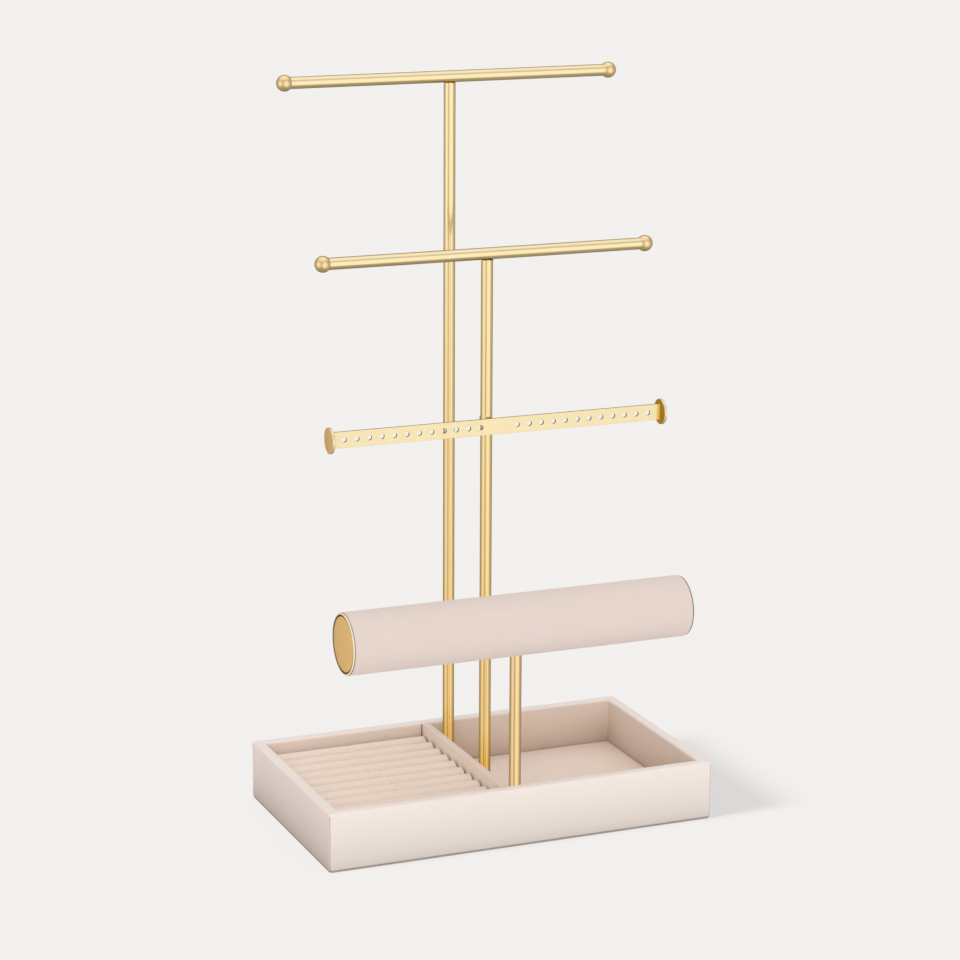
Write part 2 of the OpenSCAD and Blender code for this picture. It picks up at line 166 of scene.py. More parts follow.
sun("soft_key", 0.80, 50, (0.30, 0.85, -0.43))
side_light = sun("side_light", 12.0, 18, (0.85, 0.05, -0.53))

# Laminate: matt and white. The camera sees an even pale ground with the tray's shadow on it; to
# the cloth the ground has painted shade close beside the tray, where its grey is darker. From
# below it isn't there, nor is it to the pad's own underside, so that the felt and the screws show
# as if the stand were lifted.
table_material, tree, out = new_material("white_laminate_table")
dimmed_half = (0.14, 0.071, 0.0)
spot = add_node(tree, "TexCoord").outputs["Object"]
sides = add_node(tree, "VectorMath", {"operation": "ABSOLUTE"}, {0: spot}).outputs[0]
beyond = add_node(tree, "VectorMath", {"operation": "SUBTRACT", 1: dimmed_half}, {0: sides})
outside = add_node(tree, "VectorMath", {"operation": "MAXIMUM", 1: (0.0, 0.0, 0.0)},
                   {0: beyond.outputs[0]})
away = add_node(tree, "VectorMath", {"operation": "LENGTH"}, {0: outside.outputs[0]})
# painted shade: the grey that the cloth sees is darkest against the tray and full 35 mm away
shade = add_node(tree, "MapRange",
                 {"interpolation_type": "SMOOTHSTEP", "From Max": 0.035, "To Min": 0.06,
                  "To Max": 0.33}, {"Value": away.outputs["Value"]}).outputs["Result"]
grey = add_node(tree, "CombineColor", {}, {"Red": shade, "Green": shade, "Blue": shade})
board = add_node(tree, "BsdfDiffuse", {}, {"Color": grey.outputs[0]})
ground = add_node(tree, "Emission", {"Color": linear(pale), "Strength": 0.70})
shadowed = add_node(tree, "BsdfDiffuse", {"Color": linear("#545352")})
shown = add_node(tree, "AddShader", {}, {0: ground.outputs[0], 1: shadowed.outputs[0]})
ray = add_node(tree, "LightPath").outputs
top = add_node(tree, "MixShader", {}, {0: ray["Is Camera Ray"], 1: board.outputs[0],
                                       2: shown.outputs[0]})
below = add_node(tree, "NewGeometry").outputs["Backfacing"]
reach_of_pad = 0.2 * MM
touching = add_node(tree, "Math", {"operation": "LESS_THAN", 1: reach_of_pad},
                    {0: ray["Ray Length"]})
absent = add_node(tree, "Math", {"operation": "MAXIMUM"}, {0: below, 1: touching.outputs[0]})
clear = add_node(tree, "BsdfTransparent")
sheet = add_node(tree, "MixShader", {}, {0: absent.outputs[0], 1: top.outputs[0],
                                         2: clear.outputs[0]})
tree.links.new(sheet.outputs[0], out.inputs["Surface"])

table_half = 20.0
table_drop = 0.05 * MM
bm = bmesh.new()
bmesh.ops.create_grid(bm, x_segments=1, y_segments=1, size=table_half)
bmesh.ops.translate(bm, verts=bm.verts, vec=(0, 0, -table_drop))
table_mesh = bpy.data.meshes.new("table")
bm.to_mesh(table_mesh)
bm.free()
table = bpy.data.objects.new("table", table_mesh)
table_mesh.materials.append(table_material)
table.visible_glossy = False
scene.collection.objects.link(table)
lit_by_side = bpy.data.collections.new("lit_by_side_light")
lit_by_side.objects.link(table)
side_light.light_linking.receiver_collection = lit_by_side
shades_side = bpy.data.collections.new("shades_side_light")
side_light.light_linking.blocker_collection = shades_side


# ---------- Pad under the tray ----------
# A 2 mm sheet of pressed wool felt, glued under the floor board so that the tray doesn't slide.
# It is set in a little from the walls and has a hole round each of the three foot screws.
def merged_copy(node):
    """A mesh to work on, from a CAD node's own triangles: doubles merged and flat faces joined."""
    bm = bmesh.new()
    bm.from_mesh(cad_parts[node].data)
    bmesh.ops.remove_doubles(bm, verts=bm.verts, dist=0.001 * MM)
    bmesh.ops.dissolve_limit(bm, angle_limit=math.radians(0.5), verts=bm.verts, edges=bm.edges)
    return bm


def finish_piece(bm, name, materials, body, nodes, smooth_angle=40):
    """Makes an object of a finished bmesh, rides it on its body and hides the CAD nodes that it
    stands for. The brushed metal shows the room but is too dull to show the pieces near it."""
    bmesh.ops.remove_doubles(bm, verts=bm.verts, dist=0.002 * MM)
    mesh = bpy.data.meshes.new(name)
    bm.to_mesh(mesh)
    bm.free()
    for material in materials:
        mesh.materials.append(material)
    mesh.shade_smooth()
    mesh.set_sharp_from_angle(angle=math.radians(smooth_angle))
    piece = bpy.data.objects.new(name, mesh)
    scene.collection.objects.link(piece)
    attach(piece, body)
    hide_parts(*nodes)
    piece.visible_glossy = False
    return piece


def mottled(name, dark, light, speck, detail, settings):
    """A material of two tones in specks of a real size, with its tree, shader and specks."""
    material, tree, out = new_material(name)
    specks = add_node(tree, "TexNoise", {"Scale": 1 / speck, "Detail": detail},
                      {"Vector": add_node(tree, "TexCoord").outputs["Object"]}).outputs["Fac"]
    tone = add_node(tree, "MixRGB", {"Color1": linear(dark), "Color2": linear(light)},
                    {"Fac": specks})
    skin = add_node(tree, "BsdfPrincipled", settings, {"Base Color": tone.outputs[0]})
    tree.links.new(skin.outputs[0], out.inputs["Surface"])
    return material, tree, skin, specks


# Felt: matt grey-beige, with short tangled fibres that make it mottled close up.
felt, tree, skin, fibres = mottled("pressed_wool_felt", "#b3a69b", "#cbbfb4", 1.2 * MM, 6.0,
                                   {"Roughness": 0.95, "Sheen Weight": 0.2})
bump = add_node(tree, "Bump", {"Strength": 0.5, "Distance": 0.3 * MM}, {"Height": fibres})
tree.links.new(bump.outputs[0], skin.inputs["Normal"])

bm = merged_copy("base_pad")
finish_piece(bm, "felt_pad", [felt], "stand", ["base_pad"])


# ---------- Tray boards ----------
# Four walls and a floor of 6 mm and 5 mm fibreboard, glued and pinned. Velvet hides all but the
# recesses round the foot screws and the floor under the ring cushion.

# MDF: even tan, with fine pressed fibres and no grain.
fibreboard = mottled("medium_density_fibreboard", "#b08c61", "#cdaa7d", 0.8 * MM, 5.0,
                     {"Roughness": 0.8})[0]


def veiled(material, slot, body, *nodes):
    """Gives CAD nodes that aren't to show in the metal their finish, on copies of the same shape."""
    for node in nodes:
        finish_piece(merged_copy(node), node + "_inside", [material], body, [node])


veiled(fibreboard, "fibreboard", "stand", "floor_board", "front_board", "back_board",
       "left_board", "right_board", "divider_board")


# ---------- Velvet round the tray ----------
# One strip of short-pile blush velvet is glued over both faces of the walls and over the rim,
# with its ends turned under the pad and the floor card. Its edges meet at the upright corners.
def velvet(name, crest, nap, front_shading=None, foot=None, ends=None):
    """Short-pile velvet: crest is its colour square on and nap where the pile leans away. Front
    shading is painted light and shade: its colour on faces turned to the front and up, over the
    front and the rims. Foot is painted shade, a darker tone towards the table, and ends is painted
    shade on faces turned along x. It is matt, pales at grazing angles and shows soft brush marks a
    few centimetres long."""
    material, tree, out = new_material(name)
    coordinates = add_node(tree, "TexCoord").outputs
    brush = add_node(tree, "TexNoise", {"Scale": 1 / (28.0 * MM), "Detail": 2.0},
                     {"Vector": coordinates["Object"]}).outputs["Fac"]
    # the real pile is 0.2 mm apart, drawn at 0.9 mm so that it shows
    fibres = add_node(tree, "TexNoise", {"Scale": 1 / (0.9 * MM), "Detail": 3.0},
                      {"Vector": coordinates["Object"]}).outputs["Fac"]
    lean = add_node(tree, "Math", {"operation": "MULTIPLY", 1: 0.5}, {0: brush}).outputs[0]
    lean = add_node(tree, "Math", {"operation": "MULTIPLY_ADD", 1: 0.35},
                    {0: fibres, 2: lean}).outputs[0]
    tone = add_node(tree, "MixRGB", {"Color1": linear(crest), "Color2": linear(nap)},
                    {"Fac": lean}).outputs[0]
    # painted light and shade: faces turned to the front and up take the front shading colour
    if front_shading:
        front = add_node(tree, "VectorMath", {"operation": "DOT_PRODUCT", 1: (0.0, -0.7, 0.7)},
                         {0: coordinates["Normal"]}).outputs["Value"]
        front = add_node(tree, "MapRange", {"From Min": 0.2, "From Max": 0.6},
                         {"Value": front}).outputs["Result"]
        tone = add_node(tree, "MixRGB", {"Color2": linear(front_shading)},
                        {"Fac": front, "Color1": tone}).outputs[0]
    # painted shade: the colour darkens from 38 mm down to 14 mm above the table
    if foot:
        above = add_node(tree, "SeparateXYZ", {}, {"Vector": coordinates["Object"]}).outputs["Z"]
        below = add_node(tree, "MapRange", {"From Min": 38 * MM, "From Max": 14 * MM},
                         {"Value": above}).outputs["Result"]
        tone = add_node(tree, "MixRGB", {"blend_type": "MULTIPLY", "Color2": linear(foot)},
                        {"Fac": below, "Color1": tone}).outputs[0]
    # painted shade: faces turned along x take the darker ends colour
    if ends:
        across = add_node(tree, "SeparateXYZ", {}, {"Vector": coordinates["Normal"]}).outputs["X"]
        across = add_node(tree, "Math", {"operation": "ABSOLUTE"}, {0: across}).outputs[0]
        turned_in = add_node(tree, "MapRange", {"From Min": 0.50, "From Max": 0.80},
                             {"Value": across}).outputs["Result"]
        tone = add_node(tree, "MixRGB", {"Color2": linear(ends)},
                        {"Fac": turned_in, "Color1": tone}).outputs[0]
    bump = add_node(tree, "Bump", {"Strength": 0.35, "Distance": 0.15 * MM}, {"Height": fibres})
    skin = add_node(tree, "BsdfPrincipled",
                    {"Roughness": 0.95, "Sheen Weight": 0.3, "Sheen Roughness": 0.45,
                     "Sheen Tint": linear("#fff4ee"), "Specular IOR Level": 0.15},
                    {"Base Color": tone, "Normal": bump.outputs[0]})
    tree.links.new(skin.outputs[0], out.inputs["Surface"])
    return material


# painted light: the outside is paler on the front and the rims; painted shade: darker towards the foot
blush_velvet = velvet("blush_velvet", "#ecdbd2", "#e2d2c9", front_shading="#ece1da", foot="#f6f5f4")
# painted light: the inside faces of the walls take their own copy of the velvet, in a slightly warmer
# tone, for the light the blush walls cast on each other
inner_velvet = velvet("blush_inner_velvet", "#ecddd1", "#e2d0c3")
wall_low, wall_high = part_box("tray_cover")
foot_z = wall_low.z - 0.8 * MM
crown_z = wall_high.z
floor_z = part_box("ring_card")[0].z
slit_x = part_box("divider_cover")[0].x
slit_width = 0.8 * MM
half_w = wall_high.x
half_d = wall_high.y
wall = 8 * MM
rim_radius = 1.7 * MM
corner_radius = 1.8 * MM
inner_corner_radius = 1.2 * MM
velvet_thickness = 0.95 * MM


def rounded_outline(bm, width, depth, radius, z, steps=8):
    """A flat face on the tray's middle with rounded corners, from a single square."""
    square = bmesh.ops.create_grid(bm, x_segments=1, y_segments=1, size=0.5)["verts"]
    bmesh.ops.scale(bm, verts=square, vec=(width, depth, 1))
    bmesh.ops.translate(bm, verts=square, vec=(0, 0, z))
    made = bmesh.ops.bevel(bm, geom=square, offset=radius, segments=steps, profile=0.5,
                           affect="VERTICES", material=-1)
    return max(made["faces"] or bm.faces, key=lambda f: f.calc_area())


def raise_edges(bm, edges, height):
    """Draws a loop of edges up or down into a wall, and returns the new loop."""
    made = bmesh.ops.extrude_edge_only(bm, edges=edges)["geom"]
    verts = [v for v in made if isinstance(v, bmesh.types.BMVert)]
    bmesh.ops.translate(bm, verts=verts, vec=(0, 0, height))
    return [e for e in made if isinstance(e, bmesh.types.BMEdge)]


def in_order_round(edges):
    """The corners of a loop of edges, in order round the tray's middle."""
    return sorted({v for e in edges for v in e.verts},
                  key=lambda v: math.atan2(v.co.y / half_d, v.co.x / half_w))


def rounded(bm, edges, radius, steps):
    """Rounds edges off to a radius."""
    bmesh.ops.bevel(bm, geom=edges, offset=radius, segments=steps, profile=0.5, affect="EDGES",
                    material=-1)


def cut_across(bm, axis, places):
    """Cuts the mesh across an axis at each place, so that flat faces stay flat up to their edges."""
    normal = Vector([1.0 if i == axis else 0.0 for i in range(3)])
    for place in places:
        bmesh.ops.bisect_plane(bm, geom=bm.verts[:] + bm.edges[:] + bm.faces[:], dist=0.001 * MM,
                               plane_co=normal * place, plane_no=normal)


bm = bmesh.new()
outside = rounded_outline(bm, 2 * half_w, 2 * half_d, corner_radius, foot_z)
foot = list(outside.edges)
bmesh.ops.delete(bm, geom=[outside], context="FACES_ONLY")
crown_outside = raise_edges(bm, foot, crown_z - foot_z)
inside = rounded_outline(bm, 2 * (half_w - wall), 2 * (half_d - wall), inner_corner_radius, crown_z)
crown_inside = list(inside.edges)
bmesh.ops.delete(bm, geom=[inside], context="FACES_ONLY")
outer = in_order_round(crown_outside)
inner = in_order_round(crown_inside)
for i in range(len(outer)):
    bm.faces.new((outer[i - 1], outer[i], inner[i], inner[i - 1]))
raise_edges(bm, crown_inside, floor_z - crown_z)
bmesh.ops.recalc_face_normals(bm, faces=bm.faces)
if min(bm.faces, key=lambda f: f.calc_center_median().x).normal.x > 0:
    bmesh.ops.reverse_faces(bm, faces=bm.faces)
rounded(bm, crown_outside + crown_inside, rim_radius, 6)
flat_from = 0.4 * MM
cut_across(bm, 2, (foot_z + 2 * flat_from, crown_z - rim_radius - flat_from))
for axis, half in ((0, half_w), (1, half_d)):
    places = (half - corner_radius - flat_from, half - wall - inner_corner_radius - flat_from)
    cut_across(bm, axis, [side * place for side in (-1, 1) for place in places])
cut_across(bm, 0, (slit_x - slit_width, slit_x))
# the cloth's edges meet in a shallow seam down each upright corner
seam_depth = 0.35 * MM
seam_half = 0.45 * MM
seam_turn = corner_radius * (1 - math.sqrt(0.5))
hair = 0.02 * MM
for v in bm.verts:
    on_seam = (abs(abs(v.co.x) - half_w + seam_turn) < hair
               and abs(abs(v.co.y) - half_d + seam_turn) < hair)
    if on_seam and v.co.z < crown_z - rim_radius:
        v.co.x -= math.copysign(seam_depth, v.co.x) * math.sqrt(0.5)
        v.co.y -= math.copysign(seam_depth, v.co.y) * math.sqrt(0.5)
for face in bm.faces:
    middle = face.calc_center_median()
    faces_in = max(abs(middle.x) - half_w, abs(middle.y) - half_d) < -wall / 2
    face.material_index = 1 if faces_in and middle.z < crown_z - rim_radius / 2 else 0
    # painted shade: a thin strip of the inside walls just left of the divider is painted dark
    if face.material_index and slit_x - slit_width < middle.x < slit_x:
        face.material_index = 2
    # painted shade: the faces along each corner seam are painted darker, for the shade in its groove
    from_seam = math.hypot(abs(middle.x) - half_w + seam_turn, abs(middle.y) - half_d + seam_turn)
    if from_seam < seam_half and middle.z < crown_z - rim_radius:
        face.material_index = 3
slit_shade_velvet = velvet("blush_velvet_slit_shade", "#8f7468", "#86695d")
seam_shade_velvet = velvet("blush_velvet_seam_shade", "#cfbcb0", "#c4b0a4")
tray_velvet = finish_piece(bm, "tray_velvet",
                           [blush_velvet, inner_velvet, slit_shade_velvet, seam_shade_velvet], "stand",
                           ["tray_cover"], 60)
skin = tray_velvet.modifiers.new("velvet", "SOLIDIFY")
skin.thickness = velvet_thickness
skin.offset = -1
shades_side.objects.link(tray_velvet)


# ---------- Divider ----------
# A thin board in the same velvet, slipped in across the tray on the left of the posts. It stands in
# slits in the velvet of the walls, which are drawn only as thin dark lines of painted shade.
def block(low, high):
    """A plain block between two corners."""
    bm = bmesh.new()
    bmesh.ops.create_cube(bm, size=1)
    bmesh.ops.scale(bm, verts=bm.verts, vec=high - low)
    bmesh.ops.translate(bm, verts=bm.verts, vec=(low + high) / 2)
    return bm


low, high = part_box("divider_cover")
crown_radius = 1.5 * MM
end_gap = 0.5 * MM
end_radius = 0.8 * MM
low.y += end_gap
high.y -= end_gap
bm = block(low, high)
ends = [e for e in bm.edges if abs(e.verts[0].co.z - e.verts[1].co.z) > MM]
rounded(bm, ends, end_radius, 3)
crown = [e for e in bm.edges if all(v.co.z > high.z - MM for v in e.verts)
         and abs(e.verts[0].co.y - e.verts[1].co.y) > MM]
rounded(bm, crown, crown_radius, 6)
cut_across(bm, 2, (high.z - crown_radius - flat_from,))
cut_across(bm, 1, (low.y + end_radius + flat_from, high.y - end_radius - flat_from))
# painted light and shade: this copy of the wall velvet is paler on the divider's sides and darker on its
# top and front end
divider_velvet = velvet("blush_divider_velvet", "#f8e9da", "#eedccb", front_shading="#e4d0c4")
finish_piece(bm, "divider_velvet", [divider_velvet], "stand", ["divider_cover"], 60)


# ---------- Lining of the open compartment ----------
# Card wrapped in velvet and pressed down between the walls, with a hole for each post. Its edges
# are rolled and it dips a little here and there.
lining_velvet = velvet("blush_lining_velvet", "#ecdbcf", "#e2cfc1")
low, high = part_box("compartment_lining")
hole_radius = 4.2 * MM
hole_drop = 0.5 * MM
hole_depth = 1.0 * MM
post_ys = [(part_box(n)[0].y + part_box(n)[1].y) / 2 for n in ("rear_post", "middle_post", "front_post")]
cell = 3 * MM
patch_half = 6.2 * MM
edge_roll = 0.8 * MM
bm = bmesh.new()
cells_x = round((high.x - low.x) / cell)
cells_y = round((high.y - low.y) / cell)
bmesh.ops.create_grid(bm, x_segments=cells_x, y_segments=cells_y, size=0.5)
bmesh.ops.scale(bm, verts=bm.verts, vec=(high.x - low.x, high.y - low.y, 1))
bmesh.ops.translate(bm, verts=bm.verts, vec=((low.x + high.x) / 2, (low.y + high.y) / 2, high.z))
border = [e for e in bm.edges if e.is_boundary]
for y in post_ys:
    patch = [f for f in bm.faces if abs(f.calc_center_median().x) < patch_half
             and abs(f.calc_center_median().y - y) < patch_half]
    rim = {e for f in patch for e in f.edges if sum(g in patch for g in e.link_faces) == 1}
    bmesh.ops.delete(bm, geom=patch, context="FACES")
    ring = bmesh.ops.create_circle(bm, segments=32, radius=hole_radius)["verts"]
    bmesh.ops.translate(bm, verts=ring, vec=(0, y, high.z - hole_drop))
    hole = list({e for v in ring for e in v.link_edges})
    bmesh.ops.bridge_loops(bm, edges=[e for e in rim if e.is_valid] + hole)
    raise_edges(bm, hole, -hole_depth)
dip = 0.3 * MM
dip_size = 30 * MM
for v in bm.verts:
    if not v.is_boundary:
        v.co.z -= dip * (0.5 + 0.5 * noise.noise(v.co / dip_size))
raise_edges(bm, [e for e in border if e.is_valid], low.z - high.z)
bmesh.ops.recalc_face_normals(bm, faces=bm.faces)
if max(bm.faces, key=lambda f: f.calc_area()).normal.z < 0:
    bmesh.ops.reverse_faces(bm, faces=bm.faces)
square_on = 1.2
border = [e for e in bm.edges if all(abs(v.co.z - high.z) < 0.01 * MM for v in e.verts)
          and e.is_manifold and e.calc_face_angle(0) > square_on]
rounded(bm, border, edge_roll, 3)
finish_piece(bm, "compartment_velvet", [lining_velvet], "stand",
             ["compartment_lining"], 60)


# ---------- Ring cushion ----------
# A card that lifts out, with ten strips of soft foam glued on it side by side. Velvet is drawn
# over each strip and tucked down between them, so that a ring is held in the crease.

# Grey card: matt, with small darker flecks of pulp.
pulp_card = mottled("pulp_card", "#b9b1a5", "#d9d2c6", 2.0 * MM, 6.0, {"Roughness": 0.9})[0]
veiled(pulp_card, "card", "ring_cushion", "ring_card")

# painted shade: the rolls' ends, turned along x, are painted dark brown
ring_velvet = velvet("blush_ring_velvet", "#ecdccf", "#e2cfc1", ends="#b39583")
ring_nodes = sorted((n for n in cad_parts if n.startswith("ring_roll_")),
                    key=lambda n: int(n.split("_")[-1]))
slack = 0.6 * MM
end_slack = 0.2 * MM
ring_end_radius = 1.0 * MM
round_share = 0.47
foam_voxel = 1.25 * MM
most_swell = 1.3 * MM
glued_height = 2.0 * MM
air = 4.0
frames_blown = 20


def ring_roll(node):
    """A strip of foam before its velvet swells: round on top, flat where it is glued, and a
    little smaller than the room it has."""
    low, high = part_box(node)
    low += Vector((end_slack, slack, 0))
    high -= Vector((end_slack, slack, slack))
    bm = block(low, high)
    along = [e for e in bm.edges if all(v.co.z > low.z + MM for v in e.verts)
             and abs(e.verts[0].co.x - e.verts[1].co.x) > MM]
    rounded(bm, along, (high - low).y * round_share, 8)
    ends = [e for e in bm.edges if e.is_manifold and e.calc_face_angle(0) > square_on
            and all(v.co.z > low.z + MM for v in e.verts)]
    rounded(bm, ends, ring_end_radius, 4)
    return bm


def evaluated_mesh(piece):
    """The mesh that an object has once its modifiers have run."""
    graph = bpy.context.evaluated_depsgraph_get()
    return bpy.data.meshes.new_from_object(piece.evaluated_get(graph))


blanks = {}
for node in ring_nodes:
    bm = ring_roll(node)
    mesh = bpy.data.meshes.new(node + "_blank")
    bm.to_mesh(mesh)
    bm.free()
    blank = bpy.data.objects.new(node + "_blank", mesh)
    scene.collection.objects.link(blank)
    remesh = blank.modifiers.new("remesh", "REMESH")
    remesh.mode = "VOXEL"
    remesh.voxel_size = foam_voxel
    blank.data = evaluated_mesh(blank)
    blank.modifiers.clear()
    base_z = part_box(node)[0].z
    held = blank.vertex_groups.new(name="glued")
    held.add([v.index for v in blank.data.vertices if v.co.z < base_z + glued_height], 1.0, "ADD")
    blanks[node] = blank
    cloth = blank.modifiers.new("cloth", "CLOTH")
    cloth.settings.quality = 4
    cloth.settings.use_pressure = True
    cloth.settings.uniform_pressure_force = air
    cloth.settings.vertex_group_mass = "glued"
    cloth.settings.effector_weights.gravity = 0
    cloth.collision_settings.use_collision = False

for step in range(1, frames_blown + 1):
    scene.frame_set(step)

for node, blank in blanks.items():
    low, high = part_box(node)
    start = [v.co.copy() for v in blank.data.vertices]
    mesh = evaluated_mesh(blank)
    bm = bmesh.new()
    bm.from_mesh(mesh)
    bm.verts.ensure_lookup_table()
    for v, origin in zip(bm.verts, start):
        move = v.co - origin
        if move.length > most_swell:
            move *= most_swell / move.length
        v.co = origin + move
        v.co.x = min(max(v.co.x, low.x), high.x)
        v.co.y = min(max(v.co.y, low.y), high.y)
        v.co.z = min(max(v.co.z, low.z), high.z)
    bpy.data.objects.remove(blank)
    roll = finish_piece(bm, node.replace("roll", "cushion"), [ring_velvet], "ring_cushion",
                        [node], 180)
    fine = roll.modifiers.new("fine", "SUBSURF")
    fine.levels = 1
    fine.render_levels = 1
scene.frame_set(1)


# ---------- Posts and bars ----------
# Brass tube, 8 mm across, satin brushed, gold plated and lacquered. Each bar is screwed down on
# its post from inside, and the balls are pressed into the bars' ends.
def satin_gold(name, colour, cloud_colour, roughness, metal=1.0, painted_reflections=()):
    """Gold plate over brushed brass: warm, soft reflections with fine marks, darker at the edges.
    Metal below 1 is for a thicker lacquer, which keeps its tone from every side. Painted
    reflections are its warmer colours nearer the tray, a painted reflection of the blush velvet,
    each with the heights in metres where it begins and where it is full."""
    material, tree, out = new_material(name)
    spot = add_node(tree, "TexCoord").outputs["Object"]
    # the brushing is 0.05 mm fine, drawn at 0.6 mm so that it shows
    marks = add_node(tree, "TexNoise", {"Scale": 1 / (0.6 * MM), "Detail": 4.0},
                     {"Vector": spot}).outputs["Fac"]
    cloud = add_node(tree, "TexNoise", {"Scale": 1 / (9.0 * MM), "Detail": 2.0},
                     {"Vector": spot}).outputs["Fac"]
    gloss = add_node(tree, "MapRange", {"To Min": roughness - 0.04, "To Max": roughness + 0.05},
                     {"Value": cloud}).outputs["Result"]
    part = add_node(tree, "Math", {"operation": "MULTIPLY", 1: 0.25}, {0: cloud}).outputs[0]
    tone = add_node(tree, "MixRGB", {"Color1": linear(colour), "Color2": linear(cloud_colour)},
                    {"Fac": part}).outputs[0]
    above = add_node(tree, "SeparateXYZ", {}, {"Vector": spot}).outputs["Z"]
    for low, begins, full in painted_reflections:
        near_tray = add_node(tree, "MapRange", {"From Min": begins, "From Max": full},
                             {"Value": above}).outputs["Result"]
        tone = add_node(tree, "MixRGB", {"Color2": linear(low)},
                        {"Fac": near_tray, "Color1": tone}).outputs[0]
    bump = add_node(tree, "Bump", {"Strength": 0.04, "Distance": 0.05 * MM}, {"Height": marks})
    skin = add_node(tree, "BsdfPrincipled",
                    {"Metallic": metal, "Specular Tint": linear("#a8946c")},
                    {"Base Color": tone, "Roughness": gloss, "Normal": bump.outputs[0]})
    tree.links.new(skin.outputs[0], out.inputs["Surface"])
    return material


def paint(material, *nodes):
    """Gives CAD nodes, whose shape is right, their finish."""
    for name in nodes:
        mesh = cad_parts[name].data
        mesh.materials.clear()
        mesh.materials.append(material)


# painted reflection: the front post and the bars are painted warmer lower down, towards the tray
gold = satin_gold("satin_gold_plate", "#f8e3b0", "#edd194", 0.18,
                  painted_reflections=[("#f3cf95", 0.42, 0.05)])
paint(gold, "front_post", "upper_bar", "middle_bar")
# painted reflection: the two posts further back are painted deeper low down, and most of all between the
# tray's blush walls
deep_gold = satin_gold("satin_gold_plate_by_velvet", "#f8e3b0", "#edd194", 0.18,
                       painted_reflections=[("#f4cc86", 0.42, 0.05), ("#e6b35d", 0.062, 0.036)])
paint(deep_gold, "rear_post", "middle_post")
# the balls are turned from solid brass and take a deeper, softer gold
ball_gold = satin_gold("satin_gold_on_brass", "#fadda0", "#ecc98a", 0.30)
paint(ball_gold, "upper_left_ball", "upper_right_ball", "middle_left_ball", "middle_right_ball")
# painted shade: the studs and head plugs, seen in the thin gap under each bar, are painted a darker,
# duller brass
gap_shade_brass = satin_gold("gap_shade_brass", "#d0b07c", "#bd9f6e", 0.40)
paint(gap_shade_brass, "upper_bar_stud", "middle_bar_stud", "rear_head_plug", "middle_head_plug")


# ---------- Earring strip ----------
# A flat brass strip with 24 punched holes, in paler satin gold. Its cut edges, its holes' walls and
# its right tip are painted darker, as painted shade. A pressed plate with a rolled edge is soldered
# on each end, and a round spacer is brazed to its back and screwed to the middle post.
pale_gold = satin_gold("pale_satin_gold_plate", "#f4e3b6", "#dfc68d", 0.34, 0.75)
edge_shade_brass = satin_gold("brass_edge_shade", "#a8946a", "#98835a", 0.45)
hollow_shade_brass = satin_gold("hollow_shade_brass", "#6b5637", "#5e4a2e", 0.45)
plate_shade_gold = satin_gold("plate_gold_shade", "#e2b355", "#d3a048", 0.24)
tip_length = 2.2 * MM
punched_edge = 0.12 * MM
holes_from_end = 2 * MM
holes_from_edge = 1.5 * MM
flat_on = 0.6
strip_low, strip_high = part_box("earring_strip")
bm = merged_copy("earring_strip")
sharp = math.radians(40)
edges = [e for e in bm.edges if e.is_manifold and e.calc_face_angle(0) > sharp]
rounded(bm, edges, punched_edge, 2)
cut_across(bm, 0, (strip_high.x - tip_length,))
for face in bm.faces:
    # painted shade: faces that are not flat on the strip's front or back are painted darker brass
    face.material_index = 0 if abs(face.normal.y) > flat_on else 1
    middle = face.calc_center_median()
    # painted shade: the right tip beside the plate is painted a deeper gold
    if middle.x > strip_high.x - tip_length:
        face.material_index = 3
    from_end = strip_high.x - abs(middle.x)
    from_edge = min(middle.z - strip_low.z, strip_high.z - middle.z)
    # painted shade: the holes' walls are painted dark brass
    if face.material_index and from_end > holes_from_end and from_edge > holes_from_edge:
        face.material_index = 2
finish_piece(bm, "punched_strip", [pale_gold, edge_shade_brass, hollow_shade_brass, plate_shade_gold], "stand",
             ["earring_strip"], 20)


def turned(profile, middle, steps=96):
    """A shape turned about the line along x through its middle, from (x, radius) points."""
    bm = bmesh.new()
    points = [bm.verts.new((x, 0, r)) for x, r in profile]
    line = [bm.edges.new(pair) for pair in zip(points, points[1:])]
    bmesh.ops.spin(bm, geom=points + line, axis=(1, 0, 0), cent=(0, 0, 0), steps=steps,
                   angle=2 * math.pi, use_merge=True)
    bmesh.ops.remove_doubles(bm, verts=bm.verts, dist=0.005 * MM)
    bmesh.ops.translate(bm, verts=bm.verts, vec=middle)
    bmesh.ops.recalc_face_normals(bm, faces=bm.faces)
    if max(bm.faces, key=lambda f: f.calc_center_median().z).normal.z < 0:
        bmesh.ops.reverse_faces(bm, faces=bm.faces)
    return bm


def arc(x, r, radius, first, last, steps=5):
    """Points of an arc about (x, r); 0 degrees looks outward along x and 90 away from the axis."""
    turns = [math.radians(first + (last - first) * i / steps) for i in range(steps + 1)]
    return [(x + radius * math.cos(t), r + radius * math.sin(t)) for t in turns]


def round_box(node):
    """A round CAD node's middle, its radius and half its length along x."""
    low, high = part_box(node)
    return (low + high) / 2, (high.z - low.z) / 2, (high.x - low.x) / 2


